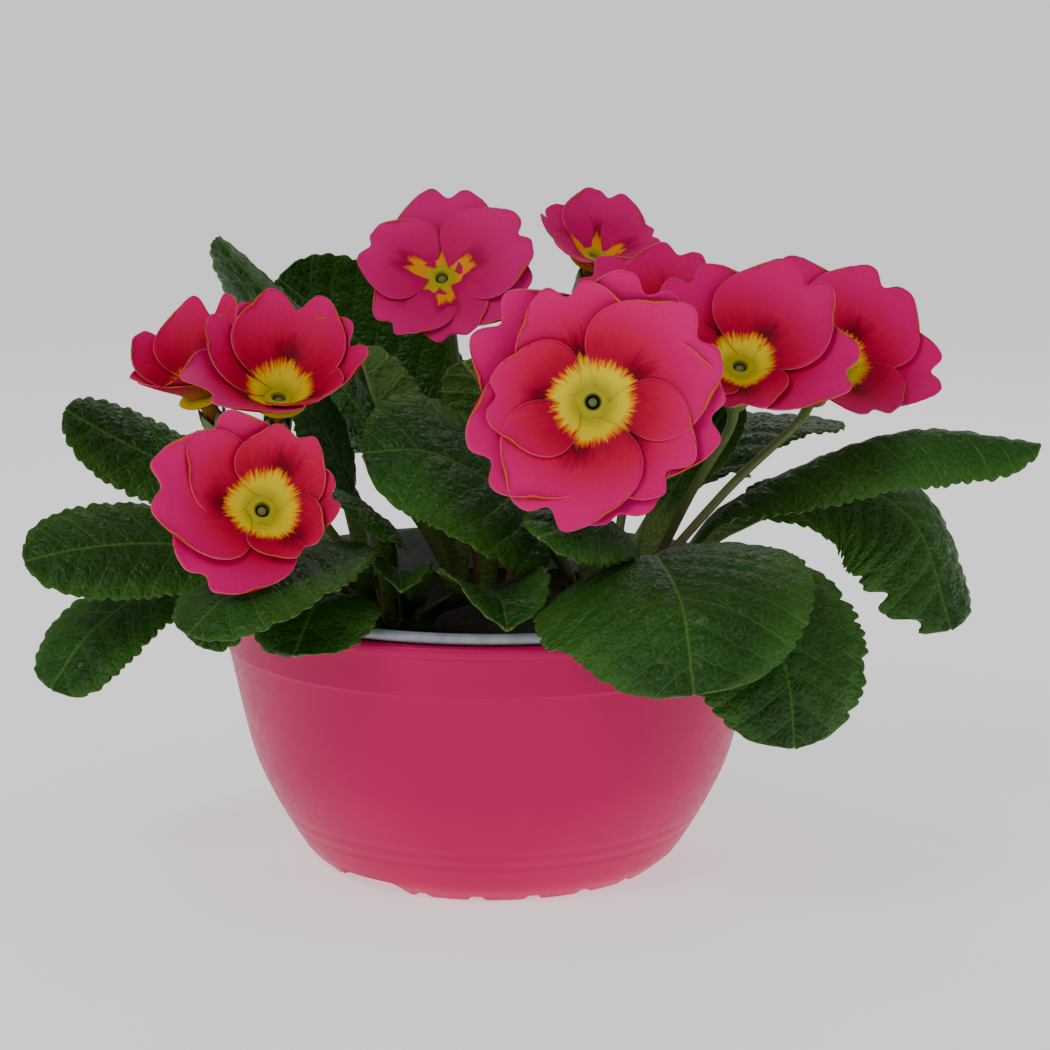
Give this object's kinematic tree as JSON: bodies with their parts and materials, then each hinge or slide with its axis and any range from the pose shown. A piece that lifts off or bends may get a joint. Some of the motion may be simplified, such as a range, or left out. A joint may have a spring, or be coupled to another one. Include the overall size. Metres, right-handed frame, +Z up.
{
  "type": "potted primrose",
  "caption": "Flowering primrose plants with broad quilted leaves, growing from soil in a bowl-shaped cover pot with a drop-in liner.",
  "frame": {"origin": "middle of the whole plant's footprint, at the height of the pot's foot", "axes": "+X to the right along the plant's longest spread, +Z up, front of the picture towards -Y"},
  "size_m": [0.2306, 0.1865, 0.1572],
  "materials": {
    "pot": "satin hot pink",
    "liner": "satin grey",
    "soil": "crumbly dark peat",
    "leaf": "quilted, slightly glossy",
    "stalk": "smooth",
    "red_petal": "velvety",
    "pink_petal": "velvety"
  },
  "bodies": {
    "root": {"corolla_back_pink": "pink_petal", "corolla_back_side": "pink_petal", "corolla_far_right": "red_petal", "corolla_front": "red_petal", "corolla_left_inner": "red_petal", "corolla_left_low": "red_petal", "corolla_left_outer": "red_petal", "corolla_right": "red_petal", "corolla_right_behind": "red_petal", "leaf_back": "leaf", "leaf_back_left": "leaf", "leaf_back_right": "leaf", "leaf_centre": "leaf", "leaf_front_curled": "leaf", "leaf_front_folded": "leaf", "leaf_left_curled": "leaf", "leaf_left_front": "leaf", "leaf_left_glossy": "leaf", "leaf_left_inner": "leaf", "leaf_left_rim": "leaf", "leaf_left_small": "leaf", "leaf_left_tucked": "leaf", "leaf_left_upper": "leaf", "leaf_middle": "leaf", "leaf_right_behind": "leaf", "leaf_right_drooping": "leaf", "leaf_right_front": "leaf", "leaf_right_inner": "leaf", "leaf_right_long": "leaf", "leaf_right_low": "leaf", "leaf_right_upright": "leaf", "leaf_side_left": "leaf", "leaf_small_front": "leaf", "leaf_tall_back": "leaf", "leaf_tall_left": "leaf", "leaf_upright": "leaf", "liner_pot": "liner", "pot_bowl": "pot", "potting_soil": "soil", "stalk_back_pink": "stalk", "stalk_back_side": "stalk", "stalk_far_right": "stalk", "stalk_front": "stalk", "stalk_left_inner": "stalk", "stalk_left_low": "stalk", "stalk_left_outer": "stalk", "stalk_right": "stalk", "stalk_right_behind": "stalk"}
  },
  "joints": []
}
